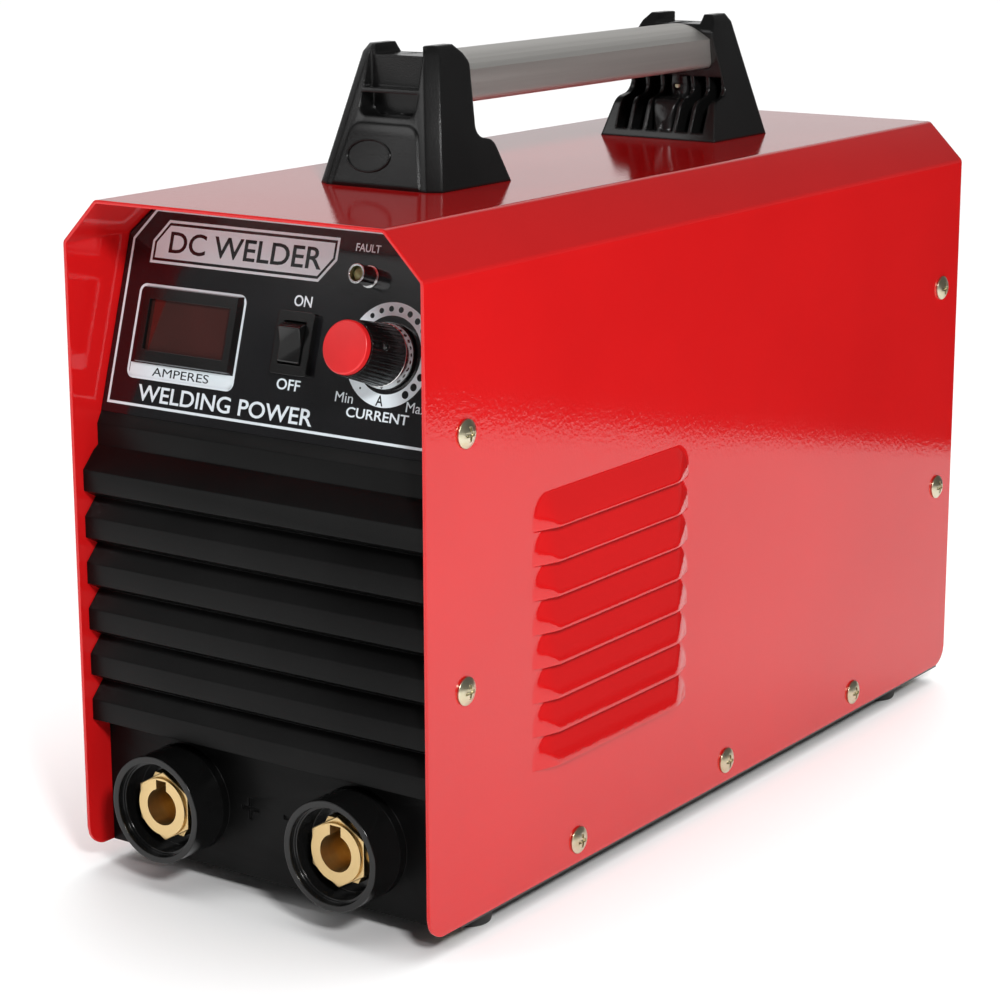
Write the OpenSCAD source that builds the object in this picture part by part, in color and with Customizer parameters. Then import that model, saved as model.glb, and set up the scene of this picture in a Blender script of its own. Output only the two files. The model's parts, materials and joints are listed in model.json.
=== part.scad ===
// Stick welding inverter: a portable single-phase DC arc welder in a folded steel case.
// Millimetres. X is the operator's right, the front faces -Y and Z is up.
// The origin is on the floor, under the middle of the case.

/* [Case] */
// Width over the cover's flat side panels
case_w = 150; // [148:1:154]
// Depth of the cover, front edge to rear edge
case_d = 371; // [369:1:373]
// Height of the cover above its own lower edge
cover_h = 230.5; // [230:0.5:232]
// Thickness of the cover's sheet steel
cover_t = 1.2; // [1:0.1:1.4]
// Leg of the 45 degree fold between each side and the top
fold_leg = 15; // [14:0.5:16]
// Height of the rubber feet
foot_h = 6; // [4:0.5:8]
// Thickness of the base pan's sheet steel
pan_t = 1.5; // [1.2:0.1:1.8]

/* [Side louvres] */
// Number of louvres on each side
louvre_n = 8; // [4:1:8]
// Height of one louvre
louvre_pitch = 11.9; // [11:0.1:12.5]
// Length of a louvre
louvre_len = 98.5; // [80:0.5:104]
// How far a louvre's lip stands out of the side panel
louvre_out = 3.5; // [2.5:0.1:4]

/* [Front slats] */
// Number of horizontal slats on the front panel
slat_n = 6; // [4:1:6]
// Height from one slat to the next
slat_pitch = 16.45; // [16:0.05:16.5]
// Height of a slat's flat tip
slat_tip = 7.4; // [6:0.1:8]

/* [Control face] */
// Backward lean of the control face, in degrees
face_tilt = 16.5; // [15:0.5:17]
// Diameter of the current knob's body
knob_d = 18.4; // [17:0.2:19]

/* [Output sockets] */
// Distance between the two socket axes
socket_gap = 76; // [74:1:78]
// Height of the socket axes above the floor
socket_z = 30.8; // [30:0.1:32]
// Bore of the brass inserts
socket_bore = 13; // [12.5:0.1:13.5]
// Outside diameter of the plastic socket rims
socket_rim = 38; // [36:0.5:39]

/* [Handle] */
// Distance between the outer faces of the two brackets, at the cover
handle_span = 223; // [219:1:227]
// Width of the aluminium hand bar
bar_w = 32; // [30:0.5:32]

/* [Cooling fan] */
// Side of the fan's square frame
fan_size = 120; // [119:0.5:120]
// Depth of the fan's frame
fan_depth = 25; // [25:0.5:27]
// Distance between the fan's mounting holes
fan_holes = 105; // [104.8:0.1:105.2]
// Number of fan blades
blade_n = 7; // [5:1:9]

/* [Hidden] */
$fn = 48;
eps = 0.01;
wall = 2.5;             // skirt wall of the plastic panels
skin = 3;               // face wall of the plastic panels
cover_z = foot_h + pan_t;
cover_top = cover_z + cover_h;
side_in = case_w / 2 - cover_t;
front_y = -case_d / 2;
rear_y = case_d / 2;
m5 = 2.5;               // shank radii of the screws
m4 = 2;
m3 = 1.5;

// Front panel
panel_gap = 0.2;
low_y = -173.5;         // flat lower face around the sockets
slat_y = -181.8;        // slat tips
valley_y = -176.2;      // grooves between the slats
slat_z = 54.4;          // underside of the lowest slat's tip
band_y = -174;
face_y = -172;          // lower edge of the sloping control face
face_z = 162.5;
face_len = 77.2;
face_inner_y = face_y + skin / cos(face_tilt);
face_top_z = face_z + face_len * cos(face_tilt);
panel_back = -157;
rim_y = -190.6;         // front of the socket rims

// Control face features, as [across, up the slope]
led_at = [31.9, 56.5];
knob_at = [44.3, 31.9];
vrd_at = [6.5, 32];
meter_at = [-39.7, 31.9];
meter_size = [36.4, 18.4];   // smoked window
meter_foot = [43, 26.2];     // raised frame around it, at the panel
meter_face = [41, 25.2];     // and at its front
meter_rise = 2.1;
meter_seat = 1.1;            // front of the window
meter_screw = 23;
label_t = 0.4;
pot_r = 3;
knob_z = [5, 21.4];     // ends of the knob's tapered body
knob_flare = 1;         // how much wider it is at its foot
knob_seat_r = 9.6;      // inside of its ring
grub_at = [14, 14.7];   // angle and height of its grub screw

// Rear panel
rear_face = 181;
rear_skirt = 160;
fan_z = 82;
power_at = [-34, 192];
gland_at = [34, 192];
stud_at = [0, 158];

// Rocker switches: bezel width, height, thickness; body width, height, depth; rocker width, radius,
// and height of its dished face over the pins
vrd_size = [15, 21, 2.4, 12.8, 19, 15, 8.9, 7, 3];
power_size = [25.5, 31.5, 2.4, 22, 28, 24, 19, 12.6, 1.6];
rocker_lean = 11;
pin_r = 1;
run_gap = 0.05;         // running clearance of pins and shafts

// Side screws, as [along, height above the cover's lower edge]
side_screws = [[-164, 164.5], [170.5, 164.5], [-165, 80], [172, 80], [-99, 8.4], [1.5, 8.4], [102, 8.4]];
feet_at = [for (x = [-62, 62], y = [-147, 147]) [x, y]];
front_tabs = [[-66, -161.5], [66, -161.5]];
rear_tabs = [[-66, 169], [66, 169]];
tab = [10, 14];         // side and height of the posts that take the panel screws
boss_x = 62;            // inner end of the bosses that take the side screws
pan_front = -166.5;
louvre_at = [-77.75, 41.2];  // middle along the case, and lowest lip above the cover's lower edge

// Handle
bar_low = 27;           // underside of the bar above the cover
bar_flat = [29, 38.4];  // lower and upper end of the bar's straight sides
bar_high = 43.8;
bar_end = 94;
bracket_h = 47.4;
bracket_y = handle_span / 2;
bracket_lean = 0.27;    // inward lean of the brackets' outer faces
bracket_w = [26, 15.6]; // half their width at the foot and at the top
bracket_screws = [[-12, 103.5], [12, 103.5], [0, 76]];

// Electronics
board_z = 18;
board_t = 1.6;
board_top = board_z + board_t;
board_y = [-135, 118];
board_posts = [for (x = [-55, 55], y = [-125, 0, 83]) [x, y]];
core_y = -30;           // middle of the transformer
sink_y = [-60, 80];
sink_x = 30;
device_y = [-45, -15, 15, 45];
upper_z = 112;
upper_y = [-128, -4];
upper_posts = [for (x = [-56, 56], y = [-112, -70]) [x, y]];
cap_y = [22, 56, 90];

// ---- Shared shapes ----

// Corner p of an outline, between its neighbours a and b, rounded to radius r
function fillet(a, p, b, r, n) =
    let (
        u = (a - p) / norm(a - p),
        v = (b - p) / norm(b - p),
        half = acos(u * v) / 2,
        mid = (u + v) / norm(u + v),
        c = p + mid * r / sin(half),
        s = p + u * r / tan(half) - c,
        e = p + v * r / tan(half) - c,
        from = atan2(s[1], s[0]),
        turn = atan2(s[0] * e[1] - s[1] * e[0], s * e)
    )
    [for (i = [0 : n]) c + r * [cos(from + turn * i / n), sin(from + turn * i / n)]];

// Closed outline whose corners are rounded to the radii in rs; 0 leaves a corner sharp
function rounded(pts, rs, n = 6) =
    let (k = len(pts))
    [for (i = [0 : k - 1])
        each rs[i] > 0 ? fillet(pts[(i + k - 1) % k], pts[i], pts[(i + 1) % k], rs[i], n) : [pts[i]]];

function box_outline(w, h) = [[-w / 2, -h / 2], [w / 2, -h / 2], [w / 2, h / 2], [-w / 2, h / 2]];

// Extrudes an outline drawn in X and Z, from y0 to y1
module along_y(y0, y1) {
    translate([0, y1, 0]) rotate([90, 0, 0]) linear_extrude(y1 - y0) children();
}

// Extrudes an outline drawn in Y and Z, from x0 to x1
module along_x(x0, x1) {
    translate([x0, 0, 0]) rotate([90, 0, 90]) linear_extrude(x1 - x0) children();
}

// Frame of the control face: X across, Y up the slope, Z out of the panel
module on_face(at = [0, 0]) {
    translate([0, face_y, face_z]) rotate([90 - face_tilt, 0, 0]) translate([at[0], at[1], 0]) children();
}

// Frame of the rear face at a point: Y up, Z out of the panel
module on_rear(at = [0, 0]) {
    translate([at[0], rear_face, at[1]]) rotate([90, 0, 180]) children();
}

// Section of the cover's surface, moved inwards by o, with bends of radius bend
function case_outline(o, bend, low) =
    let (
        w = case_w / 2 - o,
        top = cover_top - o,
        k = fold_leg + o * tan(22.5) - o
    )
    rounded(
        [[-w, low], [w, low], [w, top - k], [w - k, top], [k - w, top], [-w, top - k]],
        [0, 0, bend, bend, bend, bend]
    );

// Pan-head screw with a cross recess: head above z = 0 and shank below it
module pan_screw(r, length, head_r, head_h) {
    slot = head_r / 4;
    translate([0, 0, -length]) cylinder(r = r, h = length + eps);
    difference() {
        intersection() {
            cylinder(r = head_r, h = head_h);
            translate([0, 0, head_h - 1.6 * head_r]) sphere(r = 1.6 * head_r);
        }
        for (a = [0, 90]) rotate(a)
            translate([-head_r / 2, -slot / 2, head_h / 2]) cube([head_r, slot, head_h]);
    }
}

module hex_nut(flats, h, bore_r) {
    difference() {
        cylinder(d = flats / cos(30), h = h, $fn = 6);
        if (bore_r > 0) translate([0, 0, -1]) cylinder(r = bore_r, h = h + 2);
    }
}

// ---- Case ----

// One louvre on the right side, as a solid inset by o; its open edge is at the bottom
module louvre(i, o) {
    out = louvre_out - o;
    top = louvre_pitch - o;
    low = o > 0 ? -1 : 0;
    half = louvre_len / 2 - o;
    slope = 5;
    translate([case_w / 2, louvre_at[0], cover_z + louvre_at[1] + i * louvre_pitch])
        intersection() {
            along_y(-half, half)
                polygon([[-2, low], [out, low], [out, 0.8], [out * 0.78, top * 0.45],
                    [out * 0.4, top * 0.78], [-o, top], [-2, top]]);
            translate([0, 0, -2]) linear_extrude(louvre_pitch + 2) polygon([[-2, -half], [-o, -half],
                [out, slope - half], [out, half - slope], [-o, half], [-2, half]]);
            along_x(-3, 5)
                polygon(rounded([[-half, -2], [half, -2], [half, top], [-half, top]], [0, 0, 9, 9]));
        }
}

module cover() {
    bend = 1.5;
    corner_r = 8;
    color("crimson") difference() {
        union() {
            along_y(front_y, rear_y) polygon(case_outline(0, bend + cover_t, cover_z));
            for (m = [0, 1], i = [0 : louvre_n - 1]) mirror([m, 0, 0]) louvre(i, 0);
        }
        along_y(front_y - 1, rear_y + 1) polygon(case_outline(cover_t, bend, cover_z - 1));
        for (m = [0, 1], i = [0 : louvre_n - 1]) mirror([m, 0, 0]) louvre(i, cover_t);
        for (s = side_screws) translate([-case_w, s[0], cover_z + s[1]]) rotate([0, 90, 0])
            cylinder(r = m5 + 0.3, h = 2 * case_w);
        for (e = [-1, 1], s = bracket_screws) translate([s[0], e * s[1], cover_top - 5])
            cylinder(r = m5 + 0.3, h = 10);
        for (e = [-1, 1]) translate([0, e * rear_y, cover_z]) difference() {
            translate([-case_w, -corner_r, -corner_r]) cube([2 * case_w, 2 * corner_r, 2 * corner_r]);
            translate([-case_w - 1, -e * corner_r, corner_r]) rotate([0, 90, 0])
                cylinder(r = corner_r, h = 2 * case_w + 2);
        }
    }
}

module cover_screws() {
    color("silver") for (m = [0, 1], s = side_screws) mirror([m, 0, 0])
        translate([case_w / 2, s[0], cover_z + s[1]]) rotate([0, 90, 0]) pan_screw(m5, 9, 4.8, 2.4);
}

module base_pan() {
    flange_h = 17;
    flange_y = [-154, 158];
    color("dimgray") difference() {
        union() {
            translate([-side_in, pan_front, foot_h]) cube([2 * side_in, rear_face - pan_front, pan_t]);
            for (m = [0, 1]) mirror([m, 0, 0]) translate([side_in - pan_t, flange_y[0], cover_z - eps])
                cube([pan_t, flange_y[1] - flange_y[0], flange_h]);
        }
        for (s = side_screws) if (s[1] < 20) translate([-case_w, s[0], cover_z + s[1]]) rotate([0, 90, 0])
            cylinder(r = m5, h = 2 * case_w);
        for (p = feet_at) translate([p[0], p[1], 0]) cylinder(r = m4, h = 10);
        for (p = concat(front_tabs, rear_tabs)) translate([p[0], p[1], 0]) cylinder(r = m4, h = 10);
        for (p = board_posts) translate([p[0], p[1], 0]) cylinder(r = m3, h = 10);
    }
}

module feet() {
    recess = 3;
    color("black") for (p = feet_at) translate([p[0], p[1], 0]) difference() {
        cylinder(r1 = 8.2, r2 = 9, h = foot_h);
        translate([0, 0, -1]) cylinder(r = 4.5, h = 1 + recess);
        cylinder(r = m4, h = foot_h + 1);
    }
}

module foot_screws() {
    color("silver") for (p = feet_at) translate([p[0], p[1], 3]) rotate([180, 0, 0]) pan_screw(m4, 9, 4, 2);
}

module foot_nuts() {
    color("silver") for (p = feet_at) translate([p[0], p[1], cover_z]) hex_nut(7, 3.2, m4);
}

module panel_screws() {
    color("silver") for (p = concat(front_tabs, rear_tabs)) translate([p[0], p[1], foot_h])
        rotate([180, 0, 0]) pan_screw(m4, 10, 4, 2);
}

// ---- Front panel ----

// Outer outline of the front panel seen from the side, from the foot up
function panel_front() = concat(
    [[low_y, cover_z], [low_y, slat_z - 3.4]],
    [for (i = [0 : slat_n - 1])
        let (z = slat_z + i * slat_pitch)
        each [[slat_y, z], [slat_y, z + slat_tip], [valley_y, z + slat_tip + 6]]],
    [[band_y, face_z - 11], [band_y, face_z - 3.5], [face_y, face_z]],
    [[face_y + face_len * sin(face_tilt), face_top_z]]
);

// The same face seen from inside, moved back by the wall's thickness
function panel_inside() = concat(
    [[low_y + skin, cover_z + wall], [low_y + skin, slat_z - 3]],
    [for (i = [0 : slat_n - 1])
        let (z = slat_z + i * slat_pitch)
        each [[slat_y + skin, z + 2], [slat_y + skin, z + slat_tip - 1.5],
            [low_y + skin - 1, z + slat_tip + 4]]],
    [[low_y + skin, face_z - 11], [face_inner_y, face_z]],
    [[face_inner_y + face_len * sin(face_tilt), face_top_z]]
);

// Boss inside a panel's skirt that takes a side screw
module side_boss(s) {
    for (m = [0, 1]) mirror([m, 0, 0]) translate([boss_x, s[0], cover_z + s[1]]) rotate([0, 90, 0])
        cylinder(r = 5, h = side_in - panel_gap - boss_x - 1);
}

module side_boss_hole(s) {
    translate([-case_w, s[0], cover_z + s[1]]) rotate([0, 90, 0]) cylinder(r = m5, h = 2 * case_w);
}

// Post inside a panel's foot that takes a screw from below
module panel_tab(p) {
    translate([p[0] - tab[0] / 2, p[1] - tab[0] / 2, cover_z]) cube([tab[0], tab[0], tab[1]]);
}

module front_panel() {
    outer = cover_t + panel_gap;
    mark = [7.8, 1.5];      // length and stroke of the socket signs
    plus_at = [-9.7, socket_z + 1.4];
    vent = [57, 2.5];
    color([0.07, 0.07, 0.08]) difference() {
        union() {
            difference() {
                intersection() {
                    along_x(-case_w, case_w) polygon(concat(panel_front(),
                        [[-141, face_top_z], [-141, 205], [panel_back, 150], [panel_back, cover_z]]));
                    along_y(-200, -100) polygon(case_outline(outer, 1.5, cover_z));
                }
                intersection() {
                    along_x(-case_w, case_w)
                        polygon(concat(panel_inside(), [[-100, 240], [-100, cover_z + wall]]));
                    along_y(-200, -50) polygon(case_outline(outer + wall, 1, cover_z + wall));
                }
            }
            for (s = side_screws) if (s[0] < -150) side_boss(s);
            for (p = front_tabs) panel_tab(p);
            for (e = [-1, 1]) translate([e * socket_gap / 2, low_y + eps, socket_z]) rotate([90, 0, 0])
                cylinder(d = socket_rim, h = 3.5);
            for (e = [-1, 1]) on_face([meter_at[0] + e * meter_screw, meter_at[1]]) translate([0, 0, -11.5])
                cylinder(r = 2.6, h = 9.5);
        }
        for (i = [0 : slat_n - 2], m = [0, 1]) mirror([m, 0, 0])
            translate([3, valley_y - 0.8, slat_z + (i + 1) * slat_pitch - 2]) cube([vent[0], 16, vent[1]]);
        for (s = side_screws) if (s[0] < -150) side_boss_hole(s);
        for (p = front_tabs) translate([p[0], p[1], 0]) cylinder(r = m4, h = cover_z + 12);
        for (e = [-1, 1]) translate([e * socket_gap / 2, -160, socket_z]) rotate([90, 0, 0])
            cylinder(r = 14, h = 30);
        on_face(meter_at) linear_extrude(20, center = true)
            polygon(box_outline(meter_size[0] + 2, meter_size[1] + 2));
        on_face(vrd_at) linear_extrude(20, center = true) polygon(box_outline(vrd_size[3], vrd_size[4]));
        on_face(led_at) translate([0, 0, -10]) cylinder(r = pot_r, h = 20);
        on_face(knob_at) translate([0, 0, -10]) cylinder(r = pot_r + 0.6, h = 20);
        for (e = [-1, 1]) on_face([meter_at[0] + e * meter_screw, meter_at[1]]) translate([0, 0, -13])
            cylinder(r = 1.2, h = 9);
        for (bar = [mark, [mark[1], mark[0]]])
            translate([plus_at[0] - bar[0] / 2, low_y - 1, plus_at[1] - bar[1] / 2])
                cube([bar[0], 1.8, bar[1]]);
        translate([4.9, low_y - 1, plus_at[1] - mark[1] / 2]) cube([mark[0], 1.8, mark[1]]);
    }
}

module control_label() {
    half = case_w / 2 - 2;
    shoulder = (cover_top - fold_leg - face_z) / cos(face_tilt) - 1;
    color([0.03, 0.03, 0.035]) on_face() difference() {
        linear_extrude(label_t) polygon([[-half, 0.6], [half, 0.6], [half, shoulder],
            [half - fold_leg + 1, face_len - 1.2], [fold_leg - 1 - half, face_len - 1.2],
            [-half, shoulder]]);
        translate([meter_at[0], meter_at[1], -1]) linear_extrude(3)
            polygon(box_outline(meter_size[0] + 2, meter_size[1] + 2));
        translate([vrd_at[0], vrd_at[1], -1]) linear_extrude(3)
            polygon(box_outline(vrd_size[3], vrd_size[4]));
        translate([led_at[0], led_at[1], -1]) cylinder(r = pot_r, h = 3);
        translate([knob_at[0], knob_at[1], -1]) cylinder(r = pot_r + 0.6, h = 3);
    }
}

module meter_frame() {
    lip = 1;
    color([0.05, 0.05, 0.05]) on_face(meter_at) difference() {
        union() {
            translate([0, 0, -4]) linear_extrude(4.5 + label_t)
                polygon(box_outline(meter_size[0] + 2, meter_size[1] + 2));
            hull() {
                translate([0, 0, label_t]) linear_extrude(eps)
                    polygon(box_outline(meter_foot[0], meter_foot[1]));
                translate([0, 0, label_t + meter_rise - eps]) linear_extrude(eps)
                    polygon(box_outline(meter_face[0], meter_face[1]));
            }
        }
        translate([0, 0, -5]) linear_extrude(5 + meter_seat)
            polygon(box_outline(meter_size[0], meter_size[1]));
        translate([0, 0, -5]) linear_extrude(10)
            polygon(box_outline(meter_size[0] - lip, meter_size[1] - lip));
    }
}

module meter_window() {
    color([0.25, 0.05, 0.05, 0.7]) on_face(meter_at) translate([0, 0, meter_seat - 1.5])
        linear_extrude(1.5) polygon(box_outline(meter_size[0], meter_size[1]));
}

// Three seven-segment digits in one block
module meter_display() {
    deep = 10;
    color("whitesmoke") on_face(meter_at) translate([0, 0, -11.5]) difference() {
        linear_extrude(deep) polygon(box_outline(35, 16));
        for (d = [-1 : 1], x = [-3, 3], y = [-3.4, 3.4])
            translate([d * 11 + x - 0.5, y - 2.4, deep - 0.4]) cube([1, 4.8, 1]);
        for (d = [-1 : 1], y = [-6.8, 0, 6.8])
            translate([d * 11 - 2, y - 0.5, deep - 0.4]) cube([4, 1, 1]);
    }
}

module meter_board() {
    color("darkgreen") on_face(meter_at) {
        translate([0, 0, -13.1]) difference() {
            linear_extrude(board_t) polygon(box_outline(52, 28));
            for (e = [-1, 1]) translate([e * meter_screw, 0, -1]) cylinder(r = 1.2, h = 4);
        }
        translate([-20, -11, -17]) cube([12, 7, 4]);
        translate([6, -9, -15.5]) cube([9, 9, 2.5]);
    }
}

// ---- Rocker switches, drawn in the face's frame with the panel's surface at z = 0 ----

module switch_body(s) {
    slack = 0.25;
    cavity = s[5] * 0.45;
    difference() {
        union() {
            linear_extrude(s[2]) polygon(rounded(box_outline(s[0], s[1]), [1.2, 1.2, 1.2, 1.2]));
            translate([-s[3] / 2, -s[4] / 2, -s[5]]) cube([s[3], s[4], s[5] + eps]);
        }
        translate([-s[6] / 2 - slack, -s[7] - slack, -cavity])
            cube([s[6] + 2 * slack, 2 * (s[7] + slack), cavity + s[2] + 1]);
        translate([-s[6] / 2 - 0.8, 0, 0.4]) rotate([0, 90, 0])
            cylinder(r = pin_r + run_gap, h = s[6] + 1.6);
    }
    for (y = [-0.3, 0.3]) translate([-3.2, y * s[4] - 0.4, -s[5] - 7]) cube([6.4, 0.8, 7 + eps]);
}

// The rocker rests with its upper end out
module rocker(s) {
    dish = s[8];
    rise = dish + s[7] * tan(rocker_lean);
    low = -s[7] * 0.48;
    translate([0, 0, 0.4]) rotate([rocker_lean, 0, 0]) {
        intersection() {
            translate([-s[6] / 2, 0, 0]) rotate([0, 90, 0]) cylinder(r = s[7], h = s[6]);
            along_x(-s[6], s[6])
                polygon([[-s[7], low], [s[7], low], [s[7], rise], [0, dish], [-s[7], rise]]);
        }
        translate([-s[6] / 2 - 0.7, 0, 0]) rotate([0, 90, 0]) cylinder(r = pin_r, h = s[6] + 1.4);
    }
}

module vrd_switch_body() {
    color([0.06, 0.06, 0.06]) on_face(vrd_at) translate([0, 0, label_t]) switch_body(vrd_size);
}

module vrd_rocker() {
    color([0.05, 0.05, 0.05]) on_face(vrd_at) translate([0, 0, label_t]) rocker(vrd_size);
}

module power_switch_body() {
    color([0.06, 0.06, 0.06]) on_rear(power_at) switch_body(power_size);
}

module power_rocker() {
    color("firebrick") on_rear(power_at) rocker(power_size);
}

// ---- Indicator and current control ----

module led_holder() {
    color("silver") on_face(led_at) difference() {
        union() {
            translate([0, 0, label_t]) cylinder(r = 3.25, h = 7.6);
            translate([0, 0, label_t]) cylinder(r = 3.7, h = 0.6);
            translate([0, 0, -7]) cylinder(r = pot_r, h = 8);
        }
        translate([0, 0, -8]) cylinder(r = 2.5, h = 20);
    }
}

module led_lens() {
    color("darkkhaki") on_face(led_at) {
        translate([0, 0, -4]) cylinder(r = 2.5, h = 8.9);
        translate([0, 0, 4.9]) intersection() {
            sphere(r = 2.5);
            cylinder(r = 3, h = 3);
        }
    }
}

module led_nut() {
    color("silver") on_face(led_at) translate([0, 0, -skin - 2.6]) hex_nut(8, 2.6, pot_r);
}

module pot_body() {
    can_h = 9;
    color("silver") on_face(knob_at) difference() {
        union() {
            translate([0, 0, -skin - can_h]) cylinder(r = 8.5, h = can_h);
            translate([0, 0, -skin - eps]) cylinder(r = pot_r + 0.6, h = skin + 5);
            for (x = [-5, 0, 5]) translate([x - 1, -15, -skin - 5]) cube([2, 8, 0.8]);
        }
        translate([0, 0, -skin - can_h + 1.5]) cylinder(r = pot_r + run_gap, h = 30);
    }
}

module pot_nut() {
    color("silver") on_face(knob_at) translate([0, 0, label_t]) hex_nut(10, 2.4, pot_r + 0.6);
}

module pot_shaft() {
    color("silver") on_face(knob_at) translate([0, 0, -skin - 6]) cylinder(r = pot_r, h = skin + 6 + 17);
}

module current_knob() {
    flute_n = 36;
    top = knob_d / 2;
    taper = atan(knob_flare / (knob_z[1] - knob_z[0]));
    color([0.05, 0.05, 0.05]) on_face(knob_at) difference() {
        union() {
            translate([0, 0, 1.5]) cylinder(r = knob_seat_r, h = knob_z[0] - 1);
            translate([0, 0, knob_z[0]])
                cylinder(r1 = top + knob_flare, r2 = top, h = knob_z[1] - knob_z[0]);
        }
        translate([0, 0, 1]) cylinder(r = 7, h = 5.5);
        translate([0, 0, 1]) cylinder(r = pot_r, h = 16);
        rotate(grub_at[0]) translate([0, 0, grub_at[1]]) rotate([0, 90, 0]) cylinder(r = m3, h = 20);
        for (i = [0 : flute_n - 1]) rotate(i * 360 / flute_n)
            translate([top + knob_flare + 0.4, 0, knob_z[0] - 1]) rotate([0, -taper, 0])
                cylinder(r = 0.6, h = 20);
    }
}

module knob_ring() {
    color("gainsboro") on_face(knob_at) difference() {
        union() {
            translate([0, 0, 1.2]) cylinder(r = 10.9, h = 1.2);
            translate([0, 0, 2.4])
                cylinder(r1 = 10.9, r2 = knob_d / 2 + knob_flare + 0.1, h = knob_z[0] - 2.4);
        }
        cylinder(r = knob_seat_r, h = 20);
    }
}

module knob_cap() {
    cap_r = knob_d / 2 - 0.5;
    cap_h = 2.6;
    edge = 0.7;
    color("red") on_face(knob_at) translate([0, 0, knob_z[1]]) rotate_extrude() polygon(concat(
        [[0, 0], [cap_r, 0]],
        [for (a = [0 : 15 : 90]) [cap_r - edge + edge * cos(a), cap_h - edge + edge * sin(a)]],
        [[0, cap_h]]
    ));
}

module knob_grub_screw() {
    color("dimgray") on_face(knob_at) rotate(grub_at[0]) translate([pot_r, 0, grub_at[1]])
        rotate([0, 90, 0]) difference() {
        cylinder(r = m3, h = 5);
        translate([0, 0, 3.6]) cylinder(r = 0.85, h = 3, $fn = 6);
    }
}

// ---- Output sockets, drawn with the plug's way out along +Z and the rim at z = 0 ----

module at_socket(e) {
    translate([e * socket_gap / 2, rim_y, socket_z]) rotate([90, 0, 0]) children();
}

module socket_housing(e) {
    color([0.08, 0.08, 0.08]) at_socket(e) difference() {
        union() {
            translate([0, 0, -13.6]) cylinder(d = socket_rim, h = 13.6);
            translate([0, 0, -30.6]) cylinder(r = 14, h = 17.1);
        }
        translate([0, 0, -2.5]) cylinder(r = 16.75, h = 4);
        translate([0, 0, -10.6]) cylinder(r = 15.6, h = 12);
        translate([0, 0, -17.6]) cylinder(d = 21 / cos(30), h = 8, $fn = 6);
        translate([0, 0, -32]) cylinder(r = 10, h = 20);
    }
}

module socket_insert(e) {
    key_w = 4.5;
    key_r = 9.5;
    depth = 20;
    color("goldenrod") at_socket(e) difference() {
        union() {
            translate([0, 0, -7.6]) cylinder(r = 10.25, h = 4);
            translate([0, 0, -17.6]) cylinder(d = 21 / cos(30), h = 10, $fn = 6);
            translate([0, 0, -33.6]) cylinder(r = 10, h = 18);
        }
        translate([0, 0, -3.6 - depth]) cylinder(d = socket_bore, h = depth + 1);
        translate([-key_w / 2, 0, -13.6]) cube([key_w, key_r, 12]);
        translate([0, 0, -16.6]) rotate(20) rotate_extrude(angle = 80) square([key_r, 3]);
        translate([0, 0, -35]) cylinder(r = 4, h = 9.4);
    }
}

module socket_nuts() {
    color([0.1, 0.1, 0.1]) for (e = [-1, 1]) at_socket(e) translate([0, 0, rim_y - low_y - skin - 6])
        hex_nut(34, 6, 14);
}

module socket_bolts() {
    color("silver") for (e = [-1, 1]) at_socket(e) translate([0, 0, -35.6]) {
        cylinder(r = 4, h = 9);
        translate([0, 0, -5.3]) cylinder(d = 13 / cos(30), h = 5.3, $fn = 6);
    }
}

// Copper straps from the sockets' back ends down to the main board
module busbars() {
    half = 8;
    strap = 2;
    back = rim_y + 33.6;
    color("peru") for (e = [-1, 1]) translate([e * socket_gap / 2, 0, 0]) difference() {
        union() {
            translate([-half, back, board_top + 1]) cube([2 * half, strap, socket_z - board_top + 8]);
            translate([-half, back, board_top + 1]) cube([2 * half, 34, strap]);
            translate([-half, back + 26, board_top]) cube([2 * half, 8, strap]);
        }
        translate([0, back - 1, socket_z]) rotate([-90, 0, 0]) cylinder(r = 4, h = 5);
    }
}

// ---- Handle ----

// Section of the bar: flat sides, arched top and rounded lower corners
function bar_outline(o) =
    let (
        w = bar_w / 2 - o,
        lift = bar_high - bar_flat[1],
        r = (pow(bar_w / 2, 2) + lift * lift) / (2 * lift),
        a = asin(w / (r - o))
    )
    concat(
        fillet([w, bar_flat[1]], [w, bar_low + o], [-w, bar_low + o], 2.5, 5),
        fillet([w, bar_low + o], [-w, bar_low + o], [-w, bar_flat[1]], 2.5, 5),
        [for (i = [-6 : 6]) [(r - o) * sin(a * i / 6), bar_high - r + (r - o) * cos(a * i / 6)]]
    );

module handle_bar() {
    color("silver") translate([0, 0, cover_top]) difference() {
        along_y(-bar_end, bar_end) polygon(bar_outline(0));
        along_y(-bar_end - 1, bar_end + 1) polygon(bar_outline(2));
        for (e = [-1, 1]) translate([0, e * 88, bar_low - 1]) cylinder(r = m5, h = 4);
    }
}

// Outer outline of the bracket seen from the side, from the outer face round to the grip side
function bracket_side() = concat(
    [[-bracket_y, 0]],
    fillet([-bracket_y, 0], [bracket_h * bracket_lean - bracket_y, bracket_h], [-86, bracket_h], 3, 4),
    [[-86, bracket_h]],
    fillet([-86, bracket_h], [-80.3, 41], [-82.4, 29.7], 3, 4),
    fillet([-82.4, 29.7], [-84, 16.5], [-74.5, 14.6], 4, 6),
    fillet([-84, 16.5], [-74.5, 14.6], [-68.5, 0], 5, 6),
    [[-68.5, 0]]
);

// Level slice through the bracket at height z, made narrower by o
module bracket_slice(z, o) {
    cut = [4.6, 3];         // its two outer corners, cut off
    w = bracket_w[0] - (bracket_w[0] - bracket_w[1]) * z / bracket_h - o;
    y = z * bracket_lean - bracket_y;
    translate([0, 0, z]) linear_extrude(eps)
        polygon([[-w, -60], [-w, cut[1] + y], [cut[0] - w, y], [w - cut[0], y], [w, cut[1] + y], [w, -60]]);
}

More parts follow.
